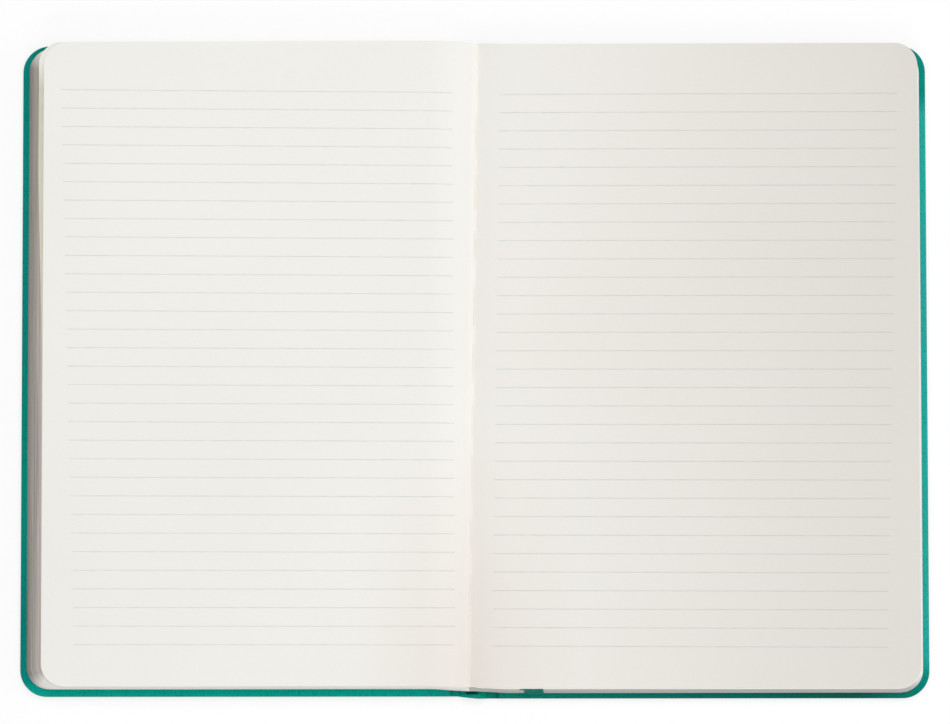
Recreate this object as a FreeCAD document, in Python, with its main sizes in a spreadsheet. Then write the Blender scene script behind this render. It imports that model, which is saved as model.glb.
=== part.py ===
import FreeCAD, Part
import math
import os

import Sketcher
from FreeCAD import Rotation, Vector

# Open hardcover notebook, A5, lying flat on its covers with a thick stack of leaves on the left
# and a thin one on the right.
# X runs across the spread, Y towards the head of the pages, Z up. The origin is on the resting
# surface, under the middle of the open case. All sizes are in millimetres.

SIZES = [
    # The case: boards wrapped in leatherette, joined by the spine covering
    ("case_width", 296.0),
    ("cover_height", 213.4),
    ("cover_corner", 8.8),
    ("covering_thickness", 0.4),
    ("board_thickness", 2.0),
    ("outer_edge_rounding", 0.9),
    ("inner_edge_rounding", 0.35),
    ("turn_in_showing", 4.0),
    ("pastedown_thickness", 0.2),
    ("front_cover_shift", 0.25),
    ("back_cover_shift", -0.4),
    # The joints between the boards and the spine covering
    ("hinge_spacing", 10.8),
    ("hinge_level", 0.6),
    ("web_thickness", 0.8),
    ("hinge_clearance", 0.4),
    ("joint_width", 2.6),
    # The spine covering, which rises in an arch under the open pages
    ("spine_rise", 3.8),
    ("spine_flare", 1.5),
    ("hollow_gap", 0.3),
    ("lining_thickness", 0.35),
    ("lining_end_angle", 32.0),
    ("lining_margin", 3.0),
    # The page block
    ("leaf_height", 210.0),
    ("leaf_corner", 7.4),
    ("fore_edge_square", 2.1),
    ("left_stack", 9.4),
    ("right_stack", 5.9),
    ("left_fan", 5.8),
    ("right_fan", 1.1),
    ("left_lean", 1.0),
    ("right_lean", 1.6),
    ("left_shift", 1.05),
    ("right_shift", -0.25),
    ("left_crown", 0.5),
    ("right_crown", 0.25),
    ("gutter_paper", 1.2),
    ("gutter_place", -0.6),
    ("left_shoulder", 15.0),
    ("right_shoulder", 12.0),
    # The sewing, which shows in the gutter
    ("thread_width", 0.5),
    ("thread_thickness", 0.35),
    ("stitch_length", 15.0),
    ("stitch_pitch", 18.6),
    ("stitch_count", 9),
    ("sewing_shift", 2.0),
    # The ribbon marker
    ("ribbon_width", 6.2),
    ("ribbon_thickness", 0.3),
    ("ribbon_place", 19.4),
    ("ribbon_start", 5.5),
    ("ribbon_turn", 45.0),
    ("ribbon_depth", 0.7),
    ("ribbon_sink", 1.7),
    ("ribbon_bend", 0.6),
    ("ribbon_end_slant", 0.9),
    ("ribbon_foot_gap", 0.3),
]

doc = FreeCAD.newDocument("open_notebook")
sheet = doc.addObject("Spreadsheet::Sheet", "Sizes")
for row, (alias, value) in enumerate(SIZES, start=1):
    sheet.set(f"A{row}", alias)
    sheet.set(f"B{row}", str(value))
    sheet.setAlias(f"B{row}", alias)
doc.recompute()

size = {alias: float(sheet.get(alias)) for alias, _ in SIZES}

# How the topmost leaf curves, as shares of its shoulder, its rise and its crown
VALLEY_FOOT_ACROSS = 0.10
VALLEY_FOOT_UP = 0.45
VALLEY_BROW_ACROSS = 0.40
PAGE_DROOP = 0.6

# How far a cutting shape reaches past what it cuts, and how closely an edge is matched
SPARE = 1.0
EXACT = 1e-3

half_web = size["web_thickness"] / 2

# Expressions that several pieces share
SLAB_INNER = "Sizes.hinge_spacing / 2 + Sizes.joint_width"
SLAB_OUTER = "Sizes.case_width / 2"
SLAB_THICKNESS = "Sizes.covering_thickness + Sizes.board_thickness + Sizes.pastedown_thickness"


# Sketching and checking helpers

def plane_of(body, role):
    return next(item for item in body.Origin.OriginFeatures if item.Role == role)


def new_sketch(body, role, name, level=None):
    sketch = body.newObject("Sketcher::SketchObject", name)
    sketch.AttachmentSupport = (plane_of(body, role), [""])
    sketch.MapMode = "FlatFace"
    if level:
        sketch.setExpression("AttachmentOffset.Base.z", level)
    return sketch


def bind(sketch, name, constraint, expression):
    index = sketch.addConstraint(constraint)
    sketch.renameConstraint(index, name)
    sketch.setExpression(f"Constraints.{name}", expression)


def panel_sketch(body, name, inner, outer, height, corner, level=None):
    """A panel on the +X side, square at the joint and rounded at its two outer corners.

    It is drawn at the case's own sizes, then bound to the expressions given.
    """
    sketch = new_sketch(body, "XY_Plane", name, level)
    x0 = size["hinge_spacing"] / 2 + size["joint_width"]
    x1 = size["case_width"] / 2
    half = size["cover_height"] / 2
    r = size["cover_corner"]
    up = Vector(0, 0, 1)
    sketch.addGeometry([
        Part.LineSegment(Vector(x0, half, 0), Vector(x0, -half, 0)),
        Part.LineSegment(Vector(x0, -half, 0), Vector(x1 - r, -half, 0)),
        Part.ArcOfCircle(Part.Circle(Vector(x1 - r, r - half, 0), up, r), -math.pi / 2, 0),
        Part.LineSegment(Vector(x1, r - half, 0), Vector(x1, half - r, 0)),
        Part.ArcOfCircle(Part.Circle(Vector(x1 - r, half - r, 0), up, r), 0, math.pi / 2),
        Part.LineSegment(Vector(x1 - r, half, 0), Vector(x0, half, 0)),
    ])
    sketch.addConstraint([
        Sketcher.Constraint("Coincident", 0, 2, 1, 1),
        Sketcher.Constraint("Tangent", 1, 2, 2, 1),
        Sketcher.Constraint("Tangent", 2, 2, 3, 1),
        Sketcher.Constraint("Tangent", 3, 2, 4, 1),
        Sketcher.Constraint("Tangent", 4, 2, 5, 1),
        Sketcher.Constraint("Coincident", 5, 2, 0, 1),
        Sketcher.Constraint("Horizontal", 1),
        Sketcher.Constraint("Vertical", 3),
        Sketcher.Constraint("Horizontal", 5),
        Sketcher.Constraint("Equal", 2, 4),
        Sketcher.Constraint("Symmetric", 0, 1, 0, 2, -1),
    ])
    bind(sketch, "inner", Sketcher.Constraint("DistanceX", -1, 1, 0, 1, x0), inner)
    bind(sketch, "outer", Sketcher.Constraint("DistanceX", -1, 1, 3, 1, x1), outer)
    bind(sketch, "height", Sketcher.Constraint("DistanceY", 0, 2, 0, 1, 2 * half), height)
    bind(sketch, "corner", Sketcher.Constraint("Radius", 2, r), corner)
    return sketch


def pad(body, name, sketch, length, both_ways=False):
    feature = body.newObject("PartDesign::Pad", name)
    feature.Profile = sketch
    feature.Midplane = both_ways
    feature.setExpression("Length", length)
    doc.recompute()
    return feature


def round_edges(body, name, base, radius, picked):
    edges = [f"Edge{number}" for number, edge in enumerate(base.Shape.Edges, start=1) if picked(edge)]
    feature = body.newObject("PartDesign::Fillet", name)
    feature.Base = (base, edges)
    feature.setExpression("Radius", radius)
    doc.recompute()
    return feature


def solid_feature(label, shape):
    feature = doc.addObject("Part::Feature", label)
    feature.Shape = shape
    return feature


def cut(label, base, tool):
    feature = doc.addObject("Part::Cut", label)
    feature.Base = base
    feature.Tool = tool
    doc.recompute()
    return feature


def arc(centre, radius, start, middle, end):
    """An arc in the XZ plane through three angles in degrees, measured from +X towards +Z."""
    def at(angle):
        turn = math.radians(angle)
        return Vector(centre.x + radius * math.cos(turn), 0, centre.z + radius * math.sin(turn))
    return Part.Arc(at(start), at(middle), at(end))


def along_y(edges, length, start):
    """The closed outline in the XZ plane, drawn out along Y."""
    wire = Part.Wire(Part.__sortEdges__([edge.toShape() for edge in edges]))
    face = Part.Face(wire)
    face.translate(Vector(0, start, 0))
    return face.extrude(Vector(0, length, 0))


def polygon(points):
    return Part.Face(Part.makePolygon(points + points[:1]))


# The covers

def place_cover(piece, side):
    """Both covers are drawn on the +X side; the front one is turned round to the left.

    Opening the case racks it a little: the front cover lies nearer the head than the back one.
    """
    turn = Rotation(Vector(0, 0, 1), 180 if side == "front" else 0)
    piece.Placement = FreeCAD.Placement(Vector(0, size[f"{side}_cover_shift"], 0), turn)


def build_board(side):
    board = doc.addObject("PartDesign::Body", f"{side}_board")
    outline = panel_sketch(
        board, f"{side}_board_outline",
        inner=f"{SLAB_INNER} + Sizes.covering_thickness",
        outer=f"{SLAB_OUTER} - Sizes.covering_thickness",
        height="Sizes.cover_height - 2 * Sizes.covering_thickness",
        corner="Sizes.cover_corner - Sizes.covering_thickness",
        level="Sizes.covering_thickness")
    pad(board, f"{side}_board_pad", outline, "Sizes.board_thickness")
    place_cover(board, side)
    return board


def build_pastedown(side):
    pastedown = doc.addObject("PartDesign::Body", f"{side}_pastedown")
    outline = panel_sketch(
        pastedown, f"{side}_pastedown_outline",
        inner=f"{SLAB_INNER} + Sizes.covering_thickness",
        outer=f"{SLAB_OUTER} - Sizes.turn_in_showing",
        height="Sizes.cover_height - 2 * Sizes.turn_in_showing",
        corner="Sizes.cover_corner - Sizes.turn_in_showing",
        level="Sizes.covering_thickness + Sizes.board_thickness")
    pad(pastedown, f"{side}_pastedown_pad", outline, "Sizes.pastedown_thickness")
    place_cover(pastedown, side)
    return pastedown


def web_sketch(body, name):
    """The thin flexible strip beside the board, hollowed round the hinge line."""
    sketch = new_sketch(body, "XZ_Plane", name)
    axis_x = size["hinge_spacing"] / 2
    level = size["hinge_level"]
    reach = axis_x + size["joint_width"]
    hollow = half_web + size["hinge_clearance"]
    across = math.sqrt(hollow ** 2 - half_web ** 2)
    lean = math.asin(half_web / hollow)
    centre = Vector(axis_x, level, 0)
    high, low = level + half_web, level - half_web
    sketch.addGeometry([
        Part.ArcOfCircle(Part.Circle(centre, Vector(0, 0, 1), hollow), -lean, lean),
        Part.LineSegment(Vector(axis_x + across, high, 0), Vector(reach, high, 0)),
        Part.LineSegment(Vector(reach, high, 0), Vector(reach, low, 0)),
        Part.LineSegment(Vector(reach, low, 0), Vector(axis_x + across, low, 0)),
    ])
    sketch.addConstraint([
        Sketcher.Constraint("Coincident", 0, 2, 1, 1),
        Sketcher.Constraint("Coincident", 1, 2, 2, 1),
        Sketcher.Constraint("Coincident", 2, 2, 3, 1),
        Sketcher.Constraint("Coincident", 3, 2, 0, 1),
        Sketcher.Constraint("Horizontal", 1),
        Sketcher.Constraint("Vertical", 2),
        Sketcher.Constraint("Horizontal", 3),
        Sketcher.Constraint("Vertical", 0, 1, 0, 2),
    ])
    bind(sketch, "axis_x", Sketcher.Constraint("DistanceX", -1, 1, 0, 3, axis_x),
         "Sizes.hinge_spacing / 2")
    bind(sketch, "axis_z", Sketcher.Constraint("DistanceY", -1, 1, 0, 3, level), "Sizes.hinge_level")
    bind(sketch, "hollow", Sketcher.Constraint("Radius", 0, hollow),
         "Sizes.web_thickness / 2 + Sizes.hinge_clearance")
    bind(sketch, "web", Sketcher.Constraint("DistanceY", 2, 2, 2, 1, 2 * half_web),
         "Sizes.web_thickness")
    bind(sketch, "reach", Sketcher.Constraint("DistanceX", -1, 1, 2, 1, reach), SLAB_INNER)
    return sketch


def build_cover(side, board, pastedown):
    """The leatherette half: wrapped round the board, turned in, with its half of the joint."""
    slab = doc.addObject("PartDesign::Body", f"{side}_wrap")
    outline = panel_sketch(slab, f"{side}_wrap_outline", SLAB_INNER, SLAB_OUTER,
                           "Sizes.cover_height", "Sizes.cover_corner")
    block = pad(slab, f"{side}_wrap_pad", outline, SLAB_THICKNESS)
    thickness = block.Shape.BoundBox.ZMax
    inner = block.Shape.BoundBox.XMin
    web = pad(slab, f"{side}_web", web_sketch(slab, f"{side}_web_outline"), "Sizes.cover_height", True)

    def lies_outside_at(level):
        def picked(edge):
            box = edge.BoundBox
            at_level = abs(box.ZMin - level) < EXACT and abs(box.ZMax - level) < EXACT
            return at_level and box.XMax > inner + EXACT
        return picked

    lower = round_edges(slab, f"{side}_outer_round", web, "Sizes.outer_edge_rounding", lies_outside_at(0))
    round_edges(slab, f"{side}_inner_round", lower, "Sizes.inner_edge_rounding", lies_outside_at(thickness))
    place_cover(slab, side)
    hollowed = cut(f"{side}_wrap_hollowed", slab, board)
    return cut(f"{side}_cover", hollowed, pastedown)


# The spine

class SpineArch:
    """The middle line of the spine covering, in the XZ plane.

    From each hinge line it turns up through a small flare and over in one arch.
    """

    def __init__(self):
        self.hinge_x = size["hinge_spacing"] / 2
        self.hinge_z = size["hinge_level"]
        self.flare = size["spine_flare"]
        self.top = self.hinge_z + size["spine_rise"]
        drop = self.hinge_z + self.flare - self.top
        self.radius = (self.hinge_x ** 2 + drop ** 2 - self.flare ** 2) / (2 * (self.flare - drop))
        self.centre = Vector(0, 0, self.top - self.radius)
        self.flare_centre = Vector(self.hinge_x, 0, self.hinge_z + self.flare)
        lift = self.flare_centre.z - self.centre.z
        self.meet = math.degrees(math.atan2(lift, self.hinge_x))

    def outline(self, half):
        """The covering's section: its middle line thickened by half on each side."""
        left_flare = Vector(-self.flare_centre.x, 0, self.flare_centre.z)
        left_hinge = Vector(-self.hinge_x, 0, self.hinge_z)
        right_hinge = Vector(self.hinge_x, 0, self.hinge_z)
        meet = self.meet
        return [
            arc(left_hinge, half, 90, 180, 270),
            arc(left_flare, self.flare + half, -90, (-90 - meet) / 2, -meet),
            arc(self.centre, self.radius - half, 180 - meet, 90, meet),
            arc(self.flare_centre, self.flare + half, 180 + meet, (450 + meet) / 2, 270),
            arc(right_hinge, half, -90, 0, 90),
            arc(self.flare_centre, self.flare - half, 270, (450 + meet) / 2, 180 + meet),
            arc(self.centre, self.radius + half, meet, 90, 180 - meet),
            arc(left_flare, self.flare - half, -meet, (-90 - meet) / 2, -90),
        ]

    def band(self, inner, outer, end_angle):
        """A part of a ring round the arch's centre, open at its feet."""
        away = 180 - end_angle
        feet = [Vector(r * math.cos(math.radians(a)), 0, self.centre.z + r * math.sin(math.radians(a)))
                for r, a in ((inner, end_angle), (outer, end_angle), (outer, away), (inner, away))]
        return [
            arc(self.centre, inner, away, 90, end_angle),
            Part.LineSegment(feet[0], feet[1]),
            arc(self.centre, outer, end_angle, 90, away),
            Part.LineSegment(feet[2], feet[3]),
        ]


arch = SpineArch()
lining_inner = arch.radius + half_web + size["hollow_gap"]
block_hollow = lining_inner + size["lining_thickness"]
slab_top = size["covering_thickness"] + size["board_thickness"] + size["pastedown_thickness"]


def build_spine():
    """The leatherette strip between the two joints, arched up under the gutter."""
    tail = size["front_cover_shift"] - size["cover_height"] / 2
    head = size["back_cover_shift"] + size["cover_height"] / 2
    return solid_feature("spine", along_y(arch.outline(half_web), head - tail, tail))


def build_spine_lining():
    """The cloth strip glued round the backs of the leaves."""
    band = arch.band(lining_inner, block_hollow, size["lining_end_angle"])
    length = size["leaf_height"] - 2 * size["lining_margin"]
    return solid_feature("spine_lining", along_y(band, length, -length / 2))


# The page block

back_top = arch.centre.z + block_hollow
gutter_level = back_top + size["gutter_paper"]
left_top = slab_top + size["left_stack"]
right_top = slab_top + size["right_stack"]
fore_edge_x = size["case_width"] / 2 - size["fore_edge_square"]
tallest = size["left_stack"] + size["left_crown"] + SPARE


def bezier(poles):
    curve = Part.BezierCurve()
    curve.setPoles([Vector(x, 0, z) for x, z in poles])
    return curve


def leaf_surface(side, edge_x, edge_z, crown, shoulder):
    """The top leaf's line: steeply out of the gutter, over its shoulder, and on to the fore-edge."""
    rise = edge_z - gutter_level
    top = rise + crown
    third = (edge_x - shoulder) / 3
    valley = [(0, 0), (VALLEY_FOOT_ACROSS * shoulder, VALLEY_FOOT_UP * rise),
              (VALLEY_BROW_ACROSS * shoulder, top), (shoulder, top)]
    page = [(shoulder, top), (shoulder + third, top),
            (shoulder + 2 * third, rise + PAGE_DROOP * crown), (edge_x, rise)]
    gutter = size["gutter_place"]
    return [bezier([(gutter + side * across, gutter_level + up) for across, up in poles])
            for poles in (valley, page)]


def build_page_block():
    """All the leaves as one solid: both stacks, the gutter between them and the hollow back."""
    edge = fore_edge_x + SPARE
    left = leaf_surface(-1, edge, left_top, size["left_crown"], size["left_shoulder"])
    right = leaf_surface(1, edge, right_top, size["right_crown"], size["right_shoulder"])
    foot = math.asin((slab_top - arch.centre.z) / block_hollow)
    foot_x = block_hollow * math.cos(foot)
    foot_angle = math.degrees(foot)
    left_end = left[-1].value(1)
    right_end = right[-1].value(1)
    left_foot = Vector(left_end.x, 0, slab_top)
    right_foot = Vector(right_end.x, 0, slab_top)
    section = left + [
        Part.LineSegment(left_end, left_foot),
        Part.LineSegment(left_foot, Vector(-foot_x, 0, slab_top)),
        arc(arch.centre, block_hollow, 180 - foot_angle, 90, foot_angle),
        Part.LineSegment(Vector(foot_x, 0, slab_top), right_foot),
        Part.LineSegment(right_foot, right_end),
    ] + right[::-1]
    room = max(size["left_lean"], size["right_lean"]) + abs(size["left_shift"]) + abs(size["right_shift"])
    length = size["leaf_height"] + 2 * (room + tallest)
    whole = along_y(section, length, -length / 2)
    return whole.common(stack_envelope("left")).fuse(whole.common(stack_envelope("right"))).removeSplitter()


def rounded_leaf(outer, level, along):
    """The outline of the leaves at one level: outer is their fore-edge, along their shift in Y."""
    r = size["leaf_corner"]
    half = size["leaf_height"] / 2
    c = r * (1 - math.sqrt(0.5))
    edges = [
        Part.LineSegment(Vector(0, -half, level), Vector(outer - r, -half, level)),
        Part.Arc(Vector(outer - r, -half, level), Vector(outer - c, c - half, level),
                 Vector(outer, r - half, level)),
        Part.LineSegment(Vector(outer, r - half, level), Vector(outer, half - r, level)),
        Part.Arc(Vector(outer, half - r, level), Vector(outer - c, half - c, level),
                 Vector(outer - r, half, level)),
        Part.LineSegment(Vector(outer - r, half, level), Vector(0, half, level)),
        Part.LineSegment(Vector(0, half, level), Vector(0, -half, level)),
    ]
    outline = Part.Wire([edge.toShape() for edge in edges])
    outline.translate(Vector(0, along, 0))
    return outline


def leaves_along(side, level):
    """How far the leaves at this level of a stack have slid towards the head."""
    return size[f"{side}_shift"] + size[f"{side}_lean"] * (level - slab_top) / size[f"{side}_stack"]


def stack_envelope(side):
    """The slanting envelope of one stack's edges.

    Each leaf up the stack reaches a little less far at the fore-edge and lies nearer the head.
    """
    top = slab_top + tallest
    fan = size[f"{side}_fan"] * tallest / size[f"{side}_stack"]
    levels = ((fore_edge_x, slab_top), (fore_edge_x - fan, top))
    outlines = [rounded_leaf(outer, level, leaves_along(side, level)) for outer, level in levels]
    envelope = Part.makeLoft(outlines, True, True)
    if side == "left":
        return envelope.mirror(Vector(0, 0, 0), Vector(1, 0, 0))
    return envelope


# The sewing

def build_sewing_thread():
    """One flat waxed thread: a stitch in the gutter, down through the fold, on behind it and up."""
    width = size["thread_width"]
    thick = size["thread_thickness"]
    x = size["gutter_place"] - width / 2
    front = gutter_level - thick / 2
    back = back_top
    pitch = size["stitch_pitch"]
    half = size["stitch_length"] / 2
    first = size["sewing_shift"] - pitch * (size["stitch_count"] - 1) / 2

    def run(low_y, high_y, low_z, high_z):
        return Part.makeBox(width, high_y - low_y, high_z - low_z, Vector(x, low_y, low_z))

    runs = []
    for index in range(int(size["stitch_count"])):
        middle = first + index * pitch
        low, high = middle - half, middle + half
        runs.append(run(low, high, front, front + thick))
        runs.append(run(low, low + thick, back, front))
        runs.append(run(high - thick, high, back, front))
        if index:
            runs.append(run(low - pitch + 2 * half, low + thick, back, back + thick))
    return runs[0].multiFuse(runs[1:]).removeSplitter()


# The ribbon

def build_ribbon():
    """The flat ribbon from the spine's head through the thin stack, its cut end over the tail."""
    width, thick = size["ribbon_width"], size["ribbon_thickness"]
    half_leaf = size["leaf_height"] / 2
    bend = size["ribbon_bend"]
    head_z = right_top - size["ribbon_depth"] - size["ribbon_sink"]
    tail_z = right_top - size["ribbon_depth"]
    foot_z = slab_top + size["ribbon_foot_gap"]
    head_y = half_leaf + size["right_shift"] - bend
    top_y = leaves_along("right", tail_z) - half_leaf
    foot_y = leaves_along("right", foot_z) - half_leaf
    outer_y = foot_y - thick
    # Side view: down the slope between the leaves, then over the tail edge
    side_view = polygon([
        Vector(0, head_y, head_z),
        Vector(0, top_y, tail_z),
        Vector(0, foot_y, foot_z),
        Vector(0, outer_y, foot_z),
        Vector(0, top_y - thick, tail_z + thick / 2),
        Vector(0, top_y - thick / 2, tail_z + thick),
        Vector(0, head_y, head_z + thick),
    ]).extrude(Vector(fore_edge_x, 0, 0))
    # Plan: from beside the gutter at the head, then straight to the tail
    left, right = size["ribbon_place"] - width / 2, size["ribbon_place"] + width / 2
    start, turn = size["ribbon_start"], size["ribbon_turn"] - half_leaf
    plan = polygon([
        Vector(start - width / 2, half_leaf, 0),
        Vector(left, turn, 0),
        Vector(left, outer_y - bend, 0),
        Vector(right, outer_y - bend, 0),
        Vector(right, turn, 0),
        Vector(start + width / 2, half_leaf, 0),
    ]).extrude(Vector(0, 0, 2 * right_top))
    ribbon = side_view.common(plan)
    # The slanting cut across its end
    offcut = polygon([
        Vector(left, outer_y - bend, foot_z),
        Vector(right, outer_y - bend, foot_z),
        Vector(left, outer_y - bend, foot_z + size["ribbon_end_slant"]),
    ]).extrude(Vector(0, 2 * bend, 0))
    return ribbon.cut(offcut)


# Put together

thread = build_sewing_thread()
ribbon = build_ribbon()
pieces = []
for side in ("front", "back"):
    board = build_board(side)
    pastedown = build_pastedown(side)
    pieces += [build_cover(side, board, pastedown), board, pastedown]
pieces.append(build_spine())
pieces.append(build_spine_lining())
pieces.append(solid_feature("page_block", build_page_block().cut(thread.fuse(ribbon))))
pieces.append(solid_feature("sewing_thread", thread))
pieces.append(solid_feature("ribbon_marker", ribbon))
doc.recompute()

for item in doc.Objects:
    if "Invalid" in item.State or "Error" in item.State:
        raise RuntimeError(f"{item.Label} failed: {item.State}")
for piece in pieces:
    if piece.Shape.isNull() or not piece.Shape.isValid() or not piece.Shape.Solids:
        raise RuntimeError(f"{piece.Label} has no valid solid")

os.makedirs("parts", exist_ok=True)
for piece in pieces:
    piece.Shape.exportStep(f"parts/{piece.Label}.step")
    box = piece.Shape.BoundBox
    print(f"{piece.Label:16} solids {len(piece.Shape.Solids)} volume {piece.Shape.Volume:10.1f}",
          f"x {box.XMin:.2f}..{box.XMax:.2f} y {box.YMin:.2f}..{box.YMax:.2f}",
          f"z {box.ZMin:.2f}..{box.ZMax:.2f}")
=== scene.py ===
import math

import bpy
import numpy as np
from mathutils import Matrix, Vector


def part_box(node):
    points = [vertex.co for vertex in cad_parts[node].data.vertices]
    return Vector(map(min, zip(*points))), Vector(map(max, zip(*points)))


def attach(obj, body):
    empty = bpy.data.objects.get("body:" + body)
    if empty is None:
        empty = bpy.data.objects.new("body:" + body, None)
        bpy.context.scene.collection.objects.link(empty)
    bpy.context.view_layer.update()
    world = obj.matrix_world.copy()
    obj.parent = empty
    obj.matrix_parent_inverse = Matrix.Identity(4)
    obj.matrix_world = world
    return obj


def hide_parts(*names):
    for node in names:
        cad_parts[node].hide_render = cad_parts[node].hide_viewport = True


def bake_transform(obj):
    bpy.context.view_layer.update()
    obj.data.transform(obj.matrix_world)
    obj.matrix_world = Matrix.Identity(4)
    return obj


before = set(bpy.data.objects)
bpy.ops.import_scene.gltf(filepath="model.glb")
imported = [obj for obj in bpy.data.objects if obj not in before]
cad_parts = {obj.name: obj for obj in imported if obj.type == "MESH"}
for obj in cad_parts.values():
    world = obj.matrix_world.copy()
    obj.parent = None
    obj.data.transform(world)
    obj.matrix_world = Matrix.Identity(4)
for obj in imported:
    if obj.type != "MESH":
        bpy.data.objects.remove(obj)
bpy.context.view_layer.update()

# Open hardcover notebook: ruled ivory leaves in a teal leatherette case.
# Metres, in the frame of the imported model: X across the spread, Y towards the head, Z up.

MM = 0.001


def limits(node):
    """The lowest and highest corners of a CAD node at rest, to a micrometre."""
    return [[round(value, 6) for value in corner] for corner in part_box(node)]


front_low, front_high = limits("front_cover")
back_low, back_high = limits("back_cover")
_, leaves_high = limits("page_block")

# The case; the web is the thin strip of leatherette that bends beside the spine
CASE_HALF = back_high[0]
COVER_HEIGHT = front_high[1] - front_low[1]
COVER_CORNER = 8.8 * MM
SLAB = back_high[2]
FRONT_SHIFT = (front_high[1] + front_low[1]) / 2
BACK_SHIFT = (back_high[1] + back_low[1]) / 2
OUTER_ROUND = 0.9 * MM
INNER_ROUND = 0.35 * MM
TURN_IN = 4.0 * MM
PASTEDOWN_STEP = 0.15 * MM
HINGE_X = 5.4 * MM
HINGE_Z = 0.6 * MM
WEB = 0.8 * MM
JOINT = 2.6 * MM
FLARE = 1.5 * MM
ARCH_RISE = 3.8 * MM

# The page block
LEAF_HEIGHT = 210.0 * MM
LEAF_CORNER = 7.4 * MM
FORE_EDGE = leaves_high[0]
LEFT_STACK, RIGHT_STACK = 9.4 * MM, 5.9 * MM
LEFT_FAN, RIGHT_FAN = 5.8 * MM, 1.1 * MM
LEFT_CROWN, RIGHT_CROWN = 0.5 * MM, 0.25 * MM
LEFT_SHOULDER, RIGHT_SHOULDER = 15.0 * MM, 12.0 * MM
LEFT_LEAN, RIGHT_LEAN = 1.0 * MM, 1.6 * MM
LEFT_SHIFT, RIGHT_SHIFT = 1.05 * MM, -0.25 * MM
LEAF = 0.11 * MM
# How far from the gutter the leaves have slid in full, each stack its own way
SHEAR_REACH = 14.0 * MM
# How far up from the middle of the page the fanned leaf stands out in full
FANNED_LENGTH = 62.0 * MM
# The gap and the lining behind the leaves, and the paper between them and the fold
HOLLOW_GAP = 0.65 * MM
GUTTER_PAPER = 1.2 * MM
# Where the fold lies at half the page's height, and how far it has moved over at the head
GUTTER_X = -0.1 * MM
GUTTER_SLANT = 1.42 * MM
# How far the block stays under the topmost leaf, and how far that leaf's curve runs past the edge
SINGLES = 2.4 * LEAF
SPARE = 1.0 * MM
# How the topmost leaf curves, as shares of its shoulder, its rise and its crown
VALLEY_FOOT_ACROSS, VALLEY_FOOT_UP = 0.10, 0.45
VALLEY_BROW_ACROSS = 0.40
PAGE_DROOP = 0.6
# How far the groups of leaves stand out or in, each as a whole and along its edge
GROUP_STEP, GROUP_DRIFT = 0.16 * MM, 0.10 * MM
# How many steps the block's edges are drawn in
BLOCK_STEPS = 60

# Ruling
LINE_COUNT = 31
LINE_WIDTH = 0.26 * MM
LINE_LIFT = 0.025 * MM
LINE_JITTER = 0.04 * MM
LINE_STEPS = 140
# In millimetres: the left and right end of the first line and of the last, then the height of the
# first line at both ends and of the last
RULING = {
    "left": ((-134.5, -6.7), (-129.4, -6.0), (91.4, 90.0), (-89.4, -89.6)),
    "right": ((8.8, 138.4), (6.0, 134.1), (89.8, 89.8), (-90.0, -90.5)),
}

# The sewing
STITCH_COUNT = 9
STITCH_PITCH = 18.6 * MM
STITCH_LENGTH = 15.0 * MM
SEWING_SHIFT = 2.0 * MM
THREAD_RADIUS = 0.16 * MM

# The ribbon
RIBBON_WIDTH, RIBBON_THICKNESS = 6.2 * MM, 0.25 * MM
RIBBON_START, RIBBON_PLACE = 5.5 * MM, 19.4 * MM
RIBBON_DEPTH = 0.55 * MM
RIBBON_CUP = 0.05 * MM
RIBBON_POINT = 1.5 * MM

# The arch of the spine, worked out as for the solid
ARCH_TOP = HINGE_Z + ARCH_RISE
arch_drop = HINGE_Z + FLARE - ARCH_TOP
ARCH_RADIUS = (HINGE_X ** 2 + arch_drop ** 2 - FLARE ** 2) / (2 * (FLARE - arch_drop))
ARCH_CENTRE = ARCH_TOP - ARCH_RADIUS
HOLLOW = ARCH_RADIUS + WEB / 2 + HOLLOW_GAP
GUTTER_Z = ARCH_CENTRE + HOLLOW + GUTTER_PAPER

# Edges that turn more than this are shaded as sharp
SHARP = math.radians(38)

random = np.random.default_rng(7)


# Mesh helpers

def add_mesh(name, points, faces, smooth=True):
    mesh = bpy.data.meshes.new(name)
    mesh.from_pydata([tuple(p) for p in points], [], [tuple(int(i) for i in f) for f in faces])
    mesh.update()
    piece = bpy.data.objects.new(name, mesh)
    bpy.context.scene.collection.objects.link(piece)
    if smooth:
        mesh.polygons.foreach_set("use_smooth", [True] * len(mesh.polygons))
        mesh.set_sharp_from_angle(angle=SHARP)
    return piece


def grid_faces(rows, columns, closed=False):
    """Quads between rows of points; closed joins the last column to the first."""
    faces = []
    for row in range(rows - 1):
        here, above = row * columns, (row + 1) * columns
        for j in range(columns if closed else columns - 1):
            k = (j + 1) % columns
            faces.append((here + j, here + k, above + k, above + j))
    return faces


def capped_faces(rows, columns):
    """Quads round closed rings of points, with a face over the first ring and the last."""
    last = (rows - 1) * columns
    caps = [tuple(range(columns))[::-1], tuple(range(last, last + columns))]
    return grid_faces(rows, columns, closed=True) + caps


def paint(piece, *materials):
    piece.data.materials.clear()
    for material in materials:
        piece.data.materials.append(material)


def finish_piece(piece, body, slot, *replaced):
    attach(piece, body)
    if replaced:
        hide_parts(*replaced)


# Material helpers

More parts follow.
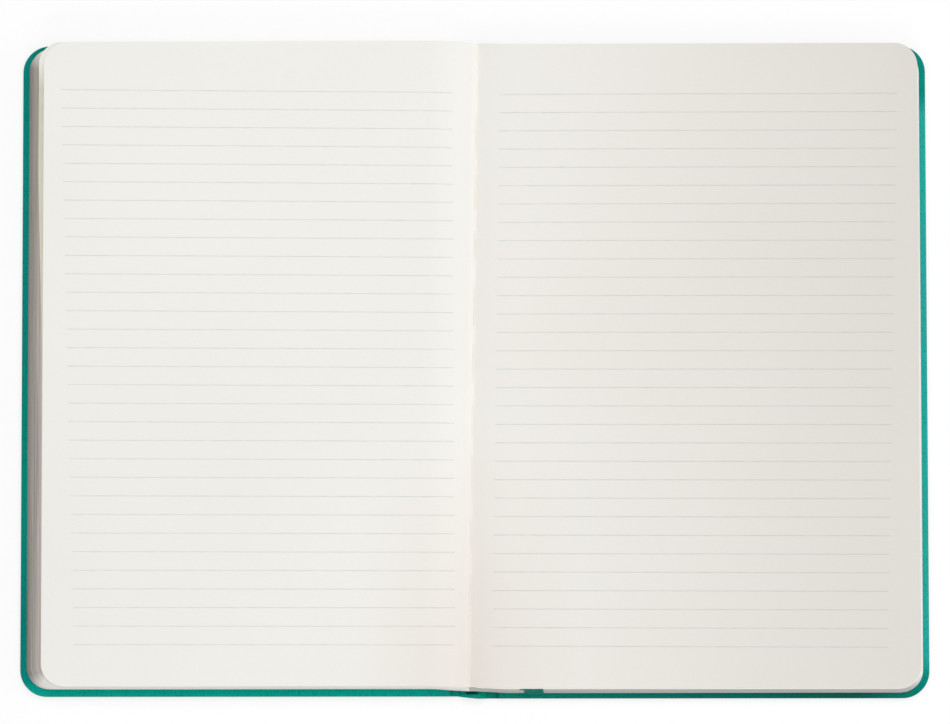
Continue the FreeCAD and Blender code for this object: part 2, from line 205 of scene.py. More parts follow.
class Shading:
    """A node tree, with short ways to add what the materials here are made of."""

    def __init__(self, tree):
        self.nodes = tree.nodes
        self.links = tree.links

    def put(self, value, socket):
        """Link the socket to another node's socket, or set it to a number or a colour."""
        if isinstance(value, bpy.types.NodeSocket):
            self.links.new(value, socket)
        elif socket.type == "RGBA":
            socket.default_value = (*value, 1.0)
        else:
            socket.default_value = value

    def add(self, kind, inputs, **settings):
        node = self.nodes.new(kind)
        for setting, value in settings.items():
            setattr(node, setting, value)
        for name, value in inputs.items():
            self.put(value, node.inputs[name])
        return node

    def parts(self, vector):
        return self.add("ShaderNodeSeparateXYZ", {"Vector": vector}).outputs

    def ramp(self, value, *stops):
        node = self.add("ShaderNodeValToRGB", {"Fac": value})
        elements = node.color_ramp.elements
        elements.remove(elements[1])
        elements[0].position = stops[0][0]
        elements[0].color = (*stops[0][1], 1.0)
        for place, colour in stops[1:]:
            elements.new(place).color = (*colour, 1.0)
        return node.outputs["Color"]

    def mix(self, factor, first, second, blend="MIX"):
        node = self.add("ShaderNodeMix", {"Factor": factor}, data_type="RGBA", blend_type=blend)
        colours = [socket for socket in node.inputs if socket.type == "RGBA"]
        for value, socket in zip((first, second), colours):
            self.put(value, socket)
        return next(socket for socket in node.outputs if socket.type == "RGBA")

    def tint(self, colour, shade):
        return self.mix(1.0, colour, shade, "MULTIPLY")

    def math(self, operation, *values):
        return self.add("ShaderNodeMath", dict(enumerate(values)), operation=operation).outputs[0]

    def product(self, first, *others):
        for value in others:
            first = self.math("MULTIPLY", first, value)
        return first

    def map_range(self, value, low, high, to_low=0.0, to_high=1.0):
        limits = {"From Min": low, "From Max": high, "To Min": to_low, "To Max": to_high}
        return self.add("ShaderNodeMapRange", {"Value": value, **limits}).outputs["Result"]

    def soft_band(self, value, outer_low, low, high, outer_high):
        """1 from low to high, and down to 0 at the outer limits, all in millimetres."""
        return self.product(self.map_range(value, outer_low * MM, low * MM),
                            self.map_range(value, outer_high * MM, high * MM))


class Surface(Shading):
    """A material that is drawn in the object's own coordinates."""

    def __init__(self, name):
        self.material = bpy.data.materials.new(name)
        self.material.use_nodes = True
        super().__init__(self.material.node_tree)
        self.shader = self.nodes["Principled BSDF"]
        coordinates = self.add("ShaderNodeTexCoord", {})
        self.where = coordinates.outputs["Object"]
        self.x, self.y, self.z = self.parts(self.where)
        self.normal = coordinates.outputs["Normal"]

    def noise(self, scale, detail, roughness=0.5, stretch=None):
        where = self.where
        if stretch:
            where = self.add("ShaderNodeMapping", {"Vector": where, "Scale": stretch}).outputs["Vector"]
        settings = {"Scale": scale, "Detail": detail, "Roughness": roughness}
        return self.add("ShaderNodeTexNoise", {"Vector": where, **settings}).outputs["Fac"]

    def bump(self, height, strength, distance):
        node = self.add("ShaderNodeBump", {"Height": height, "Strength": strength, "Distance": distance})
        self.put(node.outputs["Normal"], self.shader.inputs["Normal"])

    def finish(self, colour, roughness, specular):
        self.put(colour, self.shader.inputs["Base Color"])
        self.put(roughness, self.shader.inputs["Roughness"])
        self.put(specular, self.shader.inputs["Specular IOR Level"])
        return self.material


# Materials

def leatherette_material():
    """Fine pebbled grain in teal, with painted shade in the creases between the pebbles.

    On the side towards the leaves, painted light and shade take the edge at the tail from bright on
    the front cover to dark on the back one, painted light makes the back cover's fore-edge pale, and
    a painted shadow darkens the spine where its hollow opens at the tail.
    """
    surface = Surface("leatherette")
    x, y = surface.x, surface.y
    inside = surface.map_range(surface.parts(surface.normal)[2], 0.0, 0.4)
    colour = surface.ramp(surface.noise(22.0, 3.0),
                          (0.3, (0.0004, 0.225, 0.186)), (0.7, (0.0008, 0.285, 0.240)))
    # Painted light and shade along the tail: bright on the front cover, dark on the back one.
    tail = surface.product(inside, surface.map_range(y, -101.5 * MM, -103.5 * MM))
    tail_light_and_shade = surface.ramp(
        surface.map_range(x, -CASE_HALF, CASE_HALF),
        (0.44, (0.0006, 0.355, 0.285)), (0.53, (0.0008, 0.22, 0.155)), (0.76, (0.002, 0.155, 0.13)),
        (0.92, (0.002, 0.105, 0.08)), (0.99, (0.001, 0.22, 0.18)))
    colour = surface.mix(tail, colour, tail_light_and_shade)
    # Painted light: the back cover's turn-in along its fore-edge is paler.
    pale = surface.product(inside, surface.map_range(x, 142.5 * MM, 145.0 * MM),
                           surface.soft_band(y, -100.0, -94.0, 83.0, 90.0))
    colour = surface.mix(pale, colour, (0.018, 0.39, 0.345))
    # Painted shadow where the spine's hollow opens at the tail.
    mouth_shadow = surface.product(inside, surface.soft_band(x, -3.6, -2.2, 0.8, 2.6),
                            surface.soft_band(y, -106.0, -105.5, -102.0, -100.0))
    colour = surface.mix(mouth_shadow, colour, (0.0003, 0.035, 0.028))
    cells = surface.add("ShaderNodeTexVoronoi", {"Vector": surface.where, "Scale": 1500.0},
                        feature="DISTANCE_TO_EDGE")
    crease = surface.map_range(cells.outputs["Distance"], 0.0, 0.12)
    # Painted shade: the colour is darker in the creases between the pebbles.
    colour = surface.mix(crease, surface.tint(colour, (0.62, 0.62, 0.62)), colour)
    pebbles = surface.math("MULTIPLY_ADD", surface.noise(2600.0, 2.0), 0.35, crease)
    surface.bump(pebbles, 0.5, 0.06 * MM)
    roughness = surface.map_range(surface.noise(300.0, 2.0), 0.3, 0.7, 0.42, 0.54)
    return surface.finish(colour, roughness, 0.035)


def distance_from_fold(surface):
    """How far to the right of the gutter's slanting fold."""
    slope = -GUTTER_SLANT / (LEAF_HEIGHT / 2)
    return surface.math("SUBTRACT", surface.math("MULTIPLY_ADD", surface.y, slope, surface.x), GUTTER_X)


def paint_page_shade(surface, from_fold, colour):
    """Painted shade: greyer and greyer across the right page, darker and rosier round the fold's tail."""
    # Painted shade: greyer across the right page, from just right of the fold.
    across = surface.map_range(from_fold, 0.0, 138.0 * MM)
    greyer = surface.tint(colour, surface.mix(across, (0.98, 0.977, 0.972), (0.825, 0.808, 0.795)))
    colour = surface.mix(surface.map_range(from_fold, -0.2 * MM, 0.6 * MM), colour, greyer)
    # Painted shade: darker and rosier towards the tail, either side of the fold.
    low = surface.product(surface.soft_band(from_fold, -36.0, -4.0, 4.0, 36.0),
                          surface.map_range(surface.y, -15.0 * MM, -95.0 * MM))
    return surface.mix(low, colour, surface.tint(colour, (0.935, 0.895, 0.885)))


def paper_material(name, bright):
    """Smooth ivory writing paper, paler with painted light where the left page goes down to the fold."""
    surface = Surface(name)
    dark, light, fold = (tuple(bright * level for level in tone) for tone in (
        (0.835, 0.818, 0.772), (0.860, 0.846, 0.808), (0.885, 0.868, 0.82)))
    colour = surface.ramp(surface.noise(9.0, 3.0), (0.3, dark), (0.7, light))
    from_fold = distance_from_fold(surface)
    # Painted light: paler near the fold, mostly where the left page slopes down to it.
    colour = surface.mix(surface.soft_band(from_fold, -2.2, -0.8, 0.2, 1.0), colour, fold)
    colour = paint_page_shade(surface, from_fold, colour)
    fibres = surface.noise(1400.0, 5.0, 0.6)
    fleck = surface.map_range(fibres, 0.35, 0.65, 0.985, 1.0)
    grey = surface.add("ShaderNodeCombineColor", {"Red": fleck, "Green": fleck, "Blue": fleck})
    colour = surface.tint(colour, grey.outputs["Color"])
    surface.bump(fibres, 0.25, 0.01 * MM)
    return surface.finish(colour, 0.82, 0.2)


def leaf_lines(surface, closeness):
    """Fine lines along the cut edges of the leaves."""
    return surface.noise(60.0, 6.0, 0.7, (0.25, 0.25, closeness))


def round_corner(surface):
    """The angle round a leaf's corner: 0 along its fore-edge, a quarter turn at its head and tail."""
    def beyond(value, limit):
        return surface.math("MAXIMUM", surface.math("SUBTRACT", surface.math("ABSOLUTE", value), limit),
                            0.001 * MM)
    return surface.math("ARCTAN2", beyond(surface.y, LEAF_HEIGHT / 2 - LEAF_CORNER),
                        beyond(surface.x, FORE_EDGE - LEAF_CORNER - 2.0 * MM))


def leaf_edge_material(name, fore, end, foot_shade=1.0, crest=None):
    """The cut edges of the leaves: fine lines along them, with painted shade where the gaps open.

    The fore-edge and the head and tail ends each have a dark and a light tone, and blend round
    the corners; how the tones differ from side to side and from face to face is painted light and
    shade. A shade factor below one darkens the lowest leaves of the fore-edge, beside the cover,
    as painted shade. Above the crest, a level, the ends of the last few leaves catch painted light.
    """
    surface = Surface(name)
    lines = leaf_lines(surface, 40.0)
    tones = []
    for dark, light in (fore, end):
        between = tuple((a + b) / 2 for a, b in zip(dark, light))
        tones.append(surface.ramp(lines, (0.32, dark), (0.50, between), (0.66, light)))
    fore_tone, end_tone = tones
    # Painted shade on the lowest leaves of the fore-edge, beside the cover.
    raised = surface.map_range(surface.z, SLAB, SLAB + LEFT_STACK)
    fore_tone = surface.mix(raised, surface.tint(fore_tone, (foot_shade, foot_shade, foot_shade)), fore_tone)
    if crest:
        # Painted light on the ends of the last few leaves, above the crest.
        lit = surface.map_range(surface.z, crest - 0.2 * MM, crest + 0.2 * MM)
        end_tone = surface.mix(lit, end_tone, (0.97, 0.945, 0.91))
    turned = surface.map_range(round_corner(surface), 0.2, 0.9)
    surface.bump(lines, 0.4, 0.05 * MM)
    return surface.finish(surface.mix(turned, fore_tone, end_tone), 0.9, 0.15)


def fanned_material():
    """The leaf that stands out from under the top one on the left, in painted shade,
    paler with painted light round its head corner.
    """
    surface = Surface("fanned_leaf")
    lines = leaf_lines(surface, 10.0)
    # Painted shade: a darker copy of the paper.
    colour = surface.ramp(lines, (0.32, (0.54, 0.515, 0.42)), (0.66, (0.70, 0.67, 0.56)))
    # Painted light: paler towards the head corner.
    corner = surface.map_range(surface.y, 92.0 * MM, 101.0 * MM)
    surface.bump(lines, 0.3, 0.03 * MM)
    return surface.finish(surface.mix(corner, colour, (0.84, 0.82, 0.76)), 0.9, 0.15)


def ink_material():
    """Pale grey ruling ink, a little uneven along each line, under the page's painted shade."""
    surface = Surface("ruling_ink")
    colour = surface.ramp(surface.noise(260.0, 3.0), (0.3, (0.655, 0.66, 0.63)), (0.7, (0.745, 0.75, 0.715)))
    return surface.finish(paint_page_shade(surface, distance_from_fold(surface), colour), 0.8, 0.2)


def woven_material(name, low, high, along, across):
    """A plain weave whose threads run along Y and across it."""
    surface = Surface(name)
    bands = []
    for direction, scale in (("X", across), ("Y", along)):
        wave = surface.add("ShaderNodeTexWave",
                           {"Vector": surface.where, "Scale": scale, "Distortion": 0.4},
                           wave_type="BANDS", bands_direction=direction)
        bands.append(wave.outputs["Fac"])
    weave = surface.product(*bands)
    shade = surface.math("ADD", weave, surface.noise(500.0, 2.0))
    surface.bump(weave, 0.5, 0.05 * MM)
    return surface.finish(surface.ramp(shade, (0.35, low), (1.0, high)), 0.7, 0.1)


def board_material():
    """Grey bookbinding board with pulp flecks."""
    surface = Surface("greyboard")
    pulp = surface.noise(700.0, 6.0, 0.7)
    colour = surface.ramp(pulp, (0.35, (0.22, 0.20, 0.18)), (0.65, (0.36, 0.34, 0.31)))
    surface.bump(pulp, 0.4, 0.05 * MM)
    return surface.finish(colour, 0.95, 0.5)


LEATHERETTE = leatherette_material()
PAPER = paper_material("writing_paper", 1.0)
ENDPAPER = paper_material("endpaper", 0.97)
# Painted light and shade: the same paper's edges, darker on the left fore-edge and the right ends.
EDGES = {
    "left": leaf_edge_material("left_edges", ((0.38, 0.34, 0.31), (0.78, 0.715, 0.66)),
                               ((0.74, 0.71, 0.67), (0.94, 0.92, 0.88)), foot_shade=0.5),
    "right": leaf_edge_material("right_edges", ((0.80, 0.75, 0.72), (0.95, 0.92, 0.89)),
                                ((0.43, 0.42, 0.395), (0.58, 0.57, 0.54)),
                                crest=SLAB + RIGHT_STACK - 1.2 * MM),
}
FANNED = fanned_material()
INK = ink_material()
RIBBON = woven_material("ribbon_weave", (0.0015, 0.11, 0.08), (0.004, 0.20, 0.15), 900.0, 1300.0)
CLOTH = woven_material("lining_cloth", (0.62, 0.60, 0.54), (0.80, 0.78, 0.72), 700.0, 700.0)
THREAD = woven_material("sewing_thread", (0.82, 0.80, 0.74), (0.94, 0.925, 0.88), 1600.0, 1600.0)
GREYBOARD = board_material()


# The shape of the leaves

class Side:
    """One half of the page block: which way it goes, how thick it is and how its leaves lie."""

    def __init__(self, name, sign, stack, fan, crown, shoulder, shift, lean, groups):
        self.name = name
        self.sign = sign
        self.stack = stack
        self.fan = fan
        self.shift = shift
        self.lean = lean
        self.groups = groups
        rise = SLAB + stack - GUTTER_Z
        top = rise + crown
        end = FORE_EDGE + SPARE
        third = (end - shoulder) / 3
        valley = [(0, 0), (VALLEY_FOOT_ACROSS * shoulder, VALLEY_FOOT_UP * rise),
                  (VALLEY_BROW_ACROSS * shoulder, top), (shoulder, top)]
        page = [(shoulder, top), (shoulder + third, top),
                (shoulder + 2 * third, rise + PAGE_DROOP * crown), (end, rise)]
        self.across, self.height = bezier_table(valley, page)

    def top(self, across):
        """Height of the topmost leaf at this distance from the gutter."""
        return GUTTER_Z + float(np.interp(across, self.across, self.height))

    def edge(self, level):
        """How far from the middle the leaves at this level reach."""
        return FORE_EDGE - self.fan * (level - SLAB) / self.stack


def bezier_table(*curves):
    across, height = [], []
    for poles in curves:
        t = np.linspace(0, 1, 80)[:, None]
        p = np.array(poles, float)
        points = (1 - t) ** 3 * p[0] + 3 * t * (1 - t) ** 2 * p[1]
        points += 3 * t ** 2 * (1 - t) * p[2] + t ** 3 * p[3]
        across += list(points[:, 0])
        height += list(points[:, 1])
    return np.array(across), np.array(height)


LEFT = Side("left", -1, LEFT_STACK, LEFT_FAN, LEFT_CROWN, LEFT_SHOULDER, LEFT_SHIFT, LEFT_LEAN, 46)
RIGHT = Side("right", 1, RIGHT_STACK, RIGHT_FAN, RIGHT_CROWN, RIGHT_SHOULDER, RIGHT_SHIFT, RIGHT_LEAN, 30)


def smooth_step(share):
    return share * share * (3 - 2 * share)


def fall_away(inward, radius):
    """How far a rounded corner or edge falls away, this far past the start of its rounding."""
    inward = np.clip(inward, 0, radius)
    return radius - np.sqrt(radius ** 2 - inward ** 2)


def gutter_at(y):
    """The fold runs a little aslant, to the right at the head."""
    return GUTTER_X + GUTTER_SLANT * y / (LEAF_HEIGHT / 2)


def along_at(side, fraction, across):
    """How far a leaf has slid towards the head; at the sewing both stacks share one place."""
    shared = (LEFT_SHIFT + RIGHT_SHIFT + (LEFT_LEAN + RIGHT_LEAN) * fraction) / 2
    own = side.shift + side.lean * fraction
    return float(shared + (own - shared) * smooth_step(np.clip(across / SHEAR_REACH, 0, 1)))


def floor_of(x):
    """Underside of the leaves: flat on the endpapers, hollow over the spine."""
    return max(SLAB, ARCH_CENTRE + math.sqrt(max(HOLLOW ** 2 - x ** 2, 0.0)))


def corner_cut(y):
    """How much shorter a leaf is at this height because of its rounded corners."""
    return fall_away(abs(y) - (LEAF_HEIGHT / 2 - LEAF_CORNER), LEAF_CORNER)


def leaf_rows(count=76):
    """Rows along a leaf, closer together in its rounded corners."""
    half = LEAF_HEIGHT / 2
    corner = half - LEAF_CORNER * (1 - np.sin(np.linspace(0, math.pi / 2, 14)))
    straight = np.linspace(-(half - LEAF_CORNER), half - LEAF_CORNER, count)
    return np.concatenate([-corner[::-1], straight[1:-1], corner])


def leaf_columns(count=84):
    """Shares of the way from the gutter to the fore-edge, closer together in the valley."""
    return np.concatenate([np.linspace(0, 0.14, 34)[:-1], np.linspace(0.14, 1.0, count - 33)])


def spread(side, share, y, fraction, reach=0.0):
    """Where a leaf lies at this share of its way to the fore-edge, and its distance across.

    The fraction says how far up the stack the leaf is. A reach makes it stand out past its
    neighbours at the head, and less towards the tail.
    """
    fanned = reach * np.clip(y / FANNED_LENGTH, 0, 1)
    limit = side.edge(SLAB + side.stack * fraction) + fanned - corner_cut(y)
    gutter = gutter_at(y)
    return gutter + side.sign * share * (limit - side.sign * gutter), share * limit


def leaf_point(side, share, y, drop, reach):
    """A point on a leaf that lies this far below the topmost one."""
    fraction = 1 - drop / side.stack
    x, across = spread(side, share, y, fraction, reach)
    top = side.top(across)
    return x, y + along_at(side, fraction, across), top - (1 - fraction) * (top - floor_of(x))


def block_point(side, share, y, fraction):
    """A point in the block under the single leaves, this fraction of the way up."""
    x, across = spread(side, share, y, fraction)
    low = floor_of(x)
    high = side.top(across) - SINGLES
    return x, y + along_at(side, fraction, across), low + fraction * (high - low)


# The stacks

def stack_rings(side):
    """Rings round the edges of the stack, two for each group of leaves, from the bottom up."""
    shares = leaf_columns(BLOCK_STEPS)[:-1]
    half = LEAF_HEIGHT / 2
    tail = [(share, -half) for share in shares]
    fore = [(1.0, y) for y in leaf_rows(BLOCK_STEPS)]
    head = [(share, half) for share in shares[::-1]]
    rings = []
    for group in range(side.groups):
        out = GROUP_STEP * (random.random() - 0.5)
        drift = GROUP_DRIFT * (random.random() - 0.5)
        phase = 6.0 * random.random()
        for end in (0.02, 0.98):
            fraction = (group + end) / side.groups
            ring = []
            for share, y in tail + fore + head:
                wander = out + drift * math.sin(phase + 30.0 * y + 4.0 * share)
                x, y_at, z = block_point(side, share, y, fraction)
                if half - abs(y) < 1e-9:
                    y_at += math.copysign(wander, y)
                else:
                    x += side.sign * wander
                ring.append((x, y_at, z))
            rings.append(ring)
    return rings


def build_stack(side):
    """The block under the single leaves: its walls, then its top and its bottom."""
    rings = stack_rings(side)
    columns = len(rings[0])
    points = [point for ring in rings for point in ring]
    faces = grid_faces(len(rings), columns)
    walls = len(faces)
    rows, shares = leaf_rows(BLOCK_STEPS), leaf_columns(BLOCK_STEPS)[:-1]
    width = len(shares)
    for ring, fraction in ((len(rings) - 1, 1.0), (0, 0.0)):
        rim = ring * columns + width
        base = len(points)
        points += [block_point(side, share, y, fraction) for y in rows for share in shares]
        for row in range(len(rows) - 1):
            for column in range(width):
                a = base + row * width + column
                c = a + width
                b, d = (a + 1, c + 1) if column < width - 1 else (rim + row, rim + row + 1)
                faces.append((a, b, d, c) if fraction else (a, c, d, b))
    piece = add_mesh(f"leaves_{side.name}", points, faces)
    paint(piece, PAPER, EDGES[side.name])
    for face in piece.data.polygons[:walls]:
        face.material_index = 1
        face.use_smooth = False
    finish_piece(piece, "block", "paper", "page_block")


def build_top_leaf(side, index, drop, reach, material):
    """One of the uppermost leaves, a thin sheet of its own."""
    rows, shares = leaf_rows(), leaf_columns()
    upper, lower = [], []
    for y in rows:
        for share in shares:
            x, y_at, z = leaf_point(side, share, y, drop, reach)
            upper.append((x, y_at, z))
            lower.append((x, y_at, z - LEAF * min(1.0, 0.15 + 8 * share)))
    count, offset = len(shares), len(upper)
    faces = grid_faces(len(rows), count)
    faces += [tuple(i + offset for i in face[::-1]) for face in faces]
    tail = list(range(count))
    fore = [row * count + count - 1 for row in range(1, len(rows))]
    head = list(range(offset - 2, offset - count - 1, -1))
    rim = tail + fore + head
    faces += [(a, a + offset, b + offset, b) for a, b in zip(rim, rim[1:])]
    if side.sign < 0:
        faces = [face[::-1] for face in faces]
    piece = add_mesh(f"top_leaf_{side.name}_{index}", upper + lower, faces)
    paint(piece, material)
    finish_piece(piece, "block", "paper")


def build_ruling(side):
    """Thin strips of ink along the topmost leaf."""
    first_x, last_x, first_y, last_y = (np.array(pair) * MM for pair in RULING[side.name])
    limit = side.edge(SLAB + side.stack)
    points, faces = [], []
    for line in range(LINE_COUNT):
        down = line / (LINE_COUNT - 1)
        x0, x1 = first_x + (last_x - first_x) * down
        y0, y1 = first_y + (last_y - first_y) * down + LINE_JITTER * (random.random(2) - 0.5)
        start = len(points)
        for t in np.linspace(0, 1, LINE_STEPS + 1):
            x = x0 + (x1 - x0) * t
            for edge in (-LINE_WIDTH / 2, LINE_WIDTH / 2):
                y = y0 + (y1 - y0) * t + edge
                gutter = gutter_at(y)
                share = side.sign * (x - gutter) / (limit - side.sign * gutter)
                points.append((x, y, side.top(share * limit) + LINE_LIFT))
        for a in range(start, start + 2 * LINE_STEPS, 2):
            faces.append((a, a + 2, a + 3, a + 1))
    piece = add_mesh(f"ruling_{side.name}", points, faces)
    paint(piece, INK)
    finish_piece(piece, "block", "paper")


# The covers

def outline_half(x):
    """Half the cover's height at this distance from the middle, less its rounded corner."""
    return COVER_HEIGHT / 2 - fall_away(x - (CASE_HALF - COVER_CORNER), COVER_CORNER)


def eased(distance, radius):
    """How far a rounded edge falls away at this distance in from the outline."""
    return fall_away(radius - distance, radius)


def cover_stations():
    """Distances from the middle: the thin web in the joint, the step up to the board, the edge."""
    web = [HINGE_X - 0.4 * MM + i * 0.3 * MM for i in range(6)]
    step = list(np.linspace(HINGE_X + JOINT - 0.9 * MM, HINGE_X + JOINT + 1.2 * MM, 12))
    board = list(np.linspace(HINGE_X + JOINT + 3 * MM, CASE_HALF - COVER_CORNER, 30))
    bend = [CASE_HALF - COVER_CORNER * (1 - math.sin(a)) for a in np.linspace(0.1, 1.20, 16)]
    edge = [CASE_HALF - d * MM for d in (0.60, 0.45, 0.3, 0.2, 0.12, 0.06, 0.02, 0.0)]
    turned = [CASE_HALF - TURN_IN - 0.15 * MM, CASE_HALF - TURN_IN + 0.15 * MM]
    return sorted(web + step + board + bend + edge + turned)


def build_cover(name, sign, shift, node):
    """The leatherette wrapped round one board, with the flexible web over its joint."""
    board_start = HINGE_X + JOINT
    web_low, web_high = HINGE_Z - WEB / 2, HINGE_Z + WEB / 2
    insets = (0.0, 0.04, 0.12, 0.22, 0.35, 0.5, 0.7, 0.9, 1.4, 2.4, 3.85, 4.15, 6.0)
    rings = []
    for x in cover_stations():
        half = float(outline_half(x))
        rise = smooth_step(min(1.0, max(0.0, (x - board_start + 1.0 * MM) / (1.2 * MM))))
        to_edge = CASE_HALF - x
        inner = [half - inset * MM for inset in insets]
        middle = list(np.linspace(inner[-1], -inner[-1], 26))[1:-1]
        upper, lower = [], []
        for y in inner + middle + [-y for y in inner[::-1]]:
            to_end = half - abs(y)
            rounded = eased(to_edge, OUTER_ROUND) + eased(to_end, OUTER_ROUND)
            low = web_low * (1 - rise) + rounded * rise
            lined = min(to_end, to_edge) > TURN_IN and x > board_start + 0.4 * MM
            top = SLAB - eased(to_edge, INNER_ROUND) - eased(to_end, INNER_ROUND)
            high = web_high * (1 - rise) + (top - (PASTEDOWN_STEP if lined else 0.0)) * rise
            if low > high:
                low = high = (low + high) / 2
            upper.append((sign * x, y + shift, high))
            lower.append((sign * x, y + shift, low))
        rings.append(upper + lower[::-1])
    points = [point for ring in rings for point in ring]
    faces = capped_faces(len(rings), len(rings[0]))
    if sign > 0:
        faces = [face[::-1] for face in faces]
    piece = add_mesh(name, points, faces)
    paint(piece, LEATHERETTE)
    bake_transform(piece)
    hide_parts(node)


# The spine covering

def spine_section(steps=44):
    """The middle line of the arch from one hinge line to the other, with its outward normals."""
    meet = math.atan2(HINGE_Z + FLARE - ARCH_CENTRE, HINGE_X)
    line = []
    for share in np.linspace(0, 1, 12)[:-1]:
        turn = share * (math.pi / 2 - meet) - math.pi / 2
        at = (-HINGE_X + FLARE * math.cos(turn), HINGE_Z + FLARE + FLARE * math.sin(turn))
        line.append((at, (-math.cos(turn), -math.sin(turn))))
    for share in np.linspace(0, 1, steps):
        turn = math.pi - meet + share * (2 * meet - math.pi)
        line.append(((ARCH_RADIUS * math.cos(turn), ARCH_CENTRE + ARCH_RADIUS * math.sin(turn)),
                     (math.cos(turn), math.sin(turn))))
    flare = [((-x, z), (-nx, nz)) for (x, z), (nx, nz) in line[:-steps]]
    return line + flare[::-1]


def build_spine():
    """The strip between the joints; its ends slope from the front cover's line to the back one's."""
    section = spine_section()
    half = COVER_HEIGHT / 2
    lip = 0.3 * MM
    rows = [-half, lip - half, *np.linspace(4 * lip - half, half - 4 * lip, 24), half - lip, half]
    points = []
    for (x, z), (nx, nz) in section:
        slope = min(1.0, max(0.0, (x + HINGE_X) / (HINGE_X + 1.0 * MM)))
        shift = FRONT_SHIFT + (BACK_SHIFT - FRONT_SHIFT) * slope
        for outward in (1, -1):
            for y in rows[::outward]:
                thick = outward * (WEB / 2 - (0.6 * lip if abs(y) == half else 0))
                points.append((x + nx * thick, y + shift, z + nz * thick))
    piece = add_mesh("covering_spine", points, capped_faces(len(section), 2 * len(rows)))
    paint(piece, LEATHERETTE)
    finish_piece(piece, "block", "leatherette", "spine")


# The sewing thread and the ribbon

def tube(name, path, radius, sides=8):
    """A round thread along a path of points."""
    path = [Vector(p) for p in path]
    points = []
    for index, at in enumerate(path):
        before = path[max(index - 1, 0)]
        after = path[min(index + 1, len(path) - 1)]
        along = (after - before).normalized()
        right = along.cross(Vector((1, 0, 0.01))).normalized()
        up = along.cross(right).normalized()
        for k in range(sides):
            a = 2 * math.pi * k / sides + 0.5 * index
            points.append(at + radius * (math.cos(a) * right + math.sin(a) * up))
    return add_mesh(name, points, capped_faces(len(path), sides))


def build_thread():
    """Stitches in the gutter, each from one hole to the next, with a dip into the fold between."""
    path = []
    for index in range(STITCH_COUNT):
        middle = SEWING_SHIFT + (index - (STITCH_COUNT - 1) / 2) * STITCH_PITCH
        low, high = middle - STITCH_LENGTH / 2, middle + STITCH_LENGTH / 2
        for y, dip in ((low, 0.9), (low + 0.3 * MM, 0.1), (low + 2 * MM, -0.12), (middle, -0.16),
                       (high - 2 * MM, -0.12), (high - 0.3 * MM, 0.1), (high, 0.9)):
            path.append((gutter_at(y), y, GUTTER_Z - dip * MM + 0.1 * MM))
    piece = tube("gutter_thread", path, THREAD_RADIUS)
    paint(piece, THREAD)
    finish_piece(piece, "block", "thread", "sewing_thread")


def build_ribbon():
    """A flat woven ribbon between the leaves, over the tail edge and down to the cover."""
    place = RIBBON_PLACE
    tail = RIGHT_SHIFT - LEAF_HEIGHT / 2
    top_z = SLAB + RIGHT_STACK - RIBBON_DEPTH
    exit_y = tail + RIGHT_LEAN * (top_z - SLAB) / RIGHT_STACK
    between_leaves = [
        (RIBBON_START, 104.0 * MM, 6.3 * MM), (RIBBON_START + 4 * MM, 60.0 * MM, 6.6 * MM),
        (place - 4 * MM, -20.0 * MM, 7.2 * MM), (place, -60.0 * MM, 7.5 * MM),
        (place, exit_y + 3 * MM, top_z - 0.05 * MM), (place, exit_y, top_z)]
    bend = [(place, exit_y - 0.22 * MM, top_z - 0.1 * MM), (place, exit_y - 0.32 * MM, top_z - 0.4 * MM)]
    down = [
        (place + 0.05 * MM, exit_y - 0.5 * MM, top_z - 2.0 * MM),
        (place + 0.1 * MM, tail - 0.10 * MM, SLAB + 1.4 * MM),
        (place + 0.1 * MM, tail - 0.30 * MM, SLAB + 0.55 * MM),
        (place + 0.1 * MM, tail - 0.60 * MM, SLAB + 0.33 * MM)]
    path = [Vector(at) for at in between_leaves + bend + down]
    columns = 9
    points = []
    for index, at in enumerate(path):
        along = (path[min(index + 1, len(path) - 1)] - path[max(index - 1, 0)]).normalized()
        out = Vector((1, 0, 0)).cross(along).normalized()
        if out.z < 0 and index < len(between_leaves):
            out = -out
        # The left edge of the cut end flares out into a point, below the bend
        pointed = index == len(between_leaves) + 1
        for face in (1, -1):
            for k in range(columns)[::face]:
                share = k / (columns - 1) - 0.5
                aside = share * RIBBON_WIDTH - (RIBBON_POINT if pointed and k == 0 else 0.0)
                cup = RIBBON_CUP * math.cos(math.pi * share)
                points.append(at + Vector((aside, 0, 0)) + out * (face * RIBBON_THICKNESS / 2 + cup))
    piece = add_mesh("ribbon", points, capped_faces(len(path), 2 * columns))
    paint(piece, RIBBON)
    finish_piece(piece, "block", "ribbon", "ribbon_marker")


# Carried-over nodes

def dress_nodes():
    finishes = {
        "spine_lining": CLOTH,
        "front_board": GREYBOARD, "back_board": GREYBOARD,
        "front_pastedown": ENDPAPER, "back_pastedown": ENDPAPER,
    }
    for node, material in finishes.items():
        paint(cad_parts[node], material)


# The studio

ROOM_LIGHT = 0.46
FLOOR_HALF = 4.0
FLOOR_GLOW = 0.72
LAMPS = [
    ("key", (0.1, 0.3, 1.35), 9.2, 1.0),
    ("side", (1.4, -0.1, 0.6), 4.3, 0.8),
    ("tail", (0.0, -1.3, 1.0), 5.5, 1.0),
]


def seen_directly(shading):
    """1 on rays from the camera and on glossy ones, 0 on those that light the scene."""
    path = shading.add("ShaderNodeLightPath", {}).outputs
    return shading.math("MAXIMUM", path["Is Camera Ray"], path["Is Glossy Ray"])


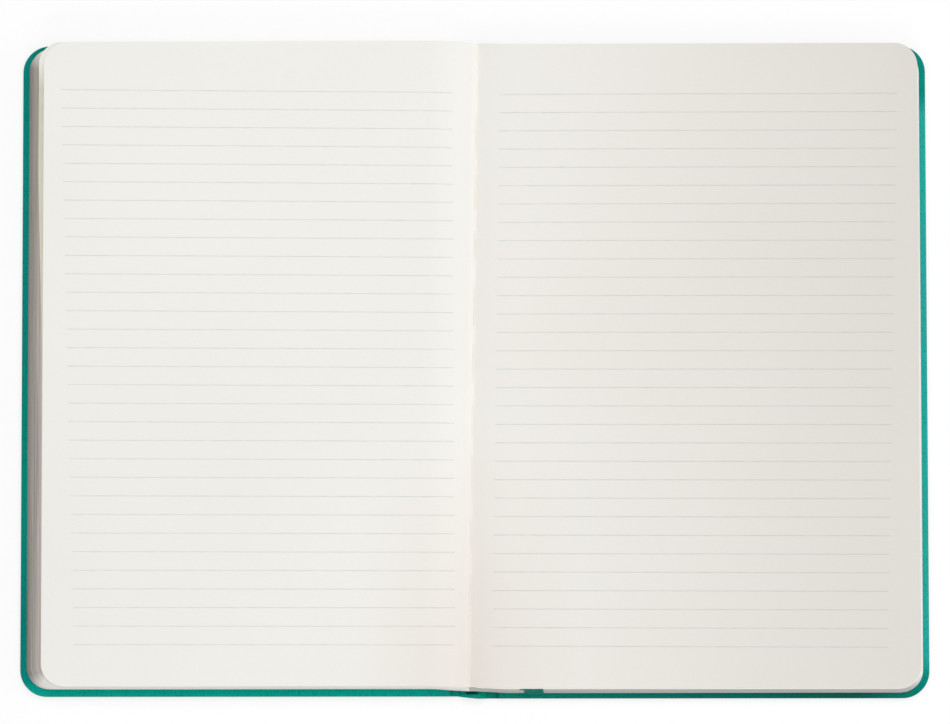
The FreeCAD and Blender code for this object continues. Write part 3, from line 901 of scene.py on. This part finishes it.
def soft_floor():
    """A white floor that still takes the object's shadow."""
    surface = Surface("studio_floor")
    material = surface.finish((0.97, 0.97, 0.97), 1.0, 0.0)
    glow = surface.add("ShaderNodeEmission", {"Strength": 1.0})
    blend = surface.add("ShaderNodeMixShader", {
        "Fac": surface.product(seen_directly(surface), FLOOR_GLOW),
        1: surface.shader.outputs["BSDF"],
        2: glow.outputs["Emission"]})
    surface.put(blend.outputs["Shader"], surface.nodes["Material Output"].inputs["Surface"])
    corners = [(x * FLOOR_HALF, y * FLOOR_HALF, 0) for x, y in ((-1, -1), (1, -1), (1, 1), (-1, 1))]
    floor = add_mesh("studio_floor", corners, [(0, 1, 2, 3)], smooth=False)
    paint(floor, material)


def light_room():
    world = bpy.data.worlds.new("room")
    bpy.context.scene.world = world
    world.use_nodes = True
    shading = Shading(world.node_tree)
    background = shading.nodes["Background"]
    shading.put((1.0, 1.0, 1.0), background.inputs["Color"])
    strength = shading.map_range(seen_directly(shading), 0.0, 1.0, ROOM_LIGHT, 1.0)
    shading.put(strength, background.inputs["Strength"])
    for name, place, power, wide in LAMPS:
        lamp = bpy.data.lights.new(name, "AREA")
        lamp.energy = power
        lamp.size = wide
        holder = bpy.data.objects.new(name, lamp)
        bpy.context.scene.collection.objects.link(holder)
        holder.location = place
        holder.rotation_euler = (Vector((0, 0, 0)) - Vector(place)).to_track_quat("-Z", "Y").to_euler()


# The camera, almost straight above and a little towards the tail
CAMERA_TARGET = (0.48 * MM, 2.47 * MM, 5.0 * MM)
CAMERA_DISTANCE = 1.4
CAMERA_TILT, CAMERA_YAW, CAMERA_ROLL = 3.5, 0.975, -0.065
CAMERA_LENS = 162.58


def set_camera():
    tilt, yaw, roll = (math.radians(angle) for angle in (CAMERA_TILT, CAMERA_YAW, CAMERA_ROLL))
    back = Vector((math.sin(yaw), -math.sin(tilt) * math.cos(yaw), math.cos(tilt) * math.cos(yaw)))
    right = Vector((0, 1, 0)).cross(back).normalized()
    up = back.cross(right)
    turned = math.cos(roll) * right + math.sin(roll) * up
    upright = -math.sin(roll) * right + math.cos(roll) * up
    data = bpy.data.cameras.new("camera")
    data.lens = CAMERA_LENS
    data.sensor_width = 36.0
    data.clip_start = 0.01
    camera = bpy.data.objects.new("camera", data)
    bpy.context.scene.collection.objects.link(camera)
    turn = Matrix((turned, upright, back)).transposed().to_4x4()
    camera.matrix_world = Matrix.Translation(Vector(CAMERA_TARGET) + CAMERA_DISTANCE * back) @ turn
    bpy.context.scene.camera = camera


# Put together

set_camera()
light_room()
soft_floor()
bpy.context.scene.view_settings.view_transform = "Standard"
dress_nodes()
for side in (LEFT, RIGHT):
    build_stack(side)
    build_top_leaf(side, 1, 0.0, 0.0, PAPER)
    build_ruling(side)
build_top_leaf(LEFT, 2, 3.0 * LEAF, 1.5 * MM, FANNED)
build_top_leaf(RIGHT, 2, 1.4 * LEAF, 0.2 * MM, PAPER)
build_cover("covering_front", -1, FRONT_SHIFT, "front_cover")
build_cover("covering_back", 1, BACK_SHIFT, "back_cover")
build_spine()
build_thread()
build_ribbon()
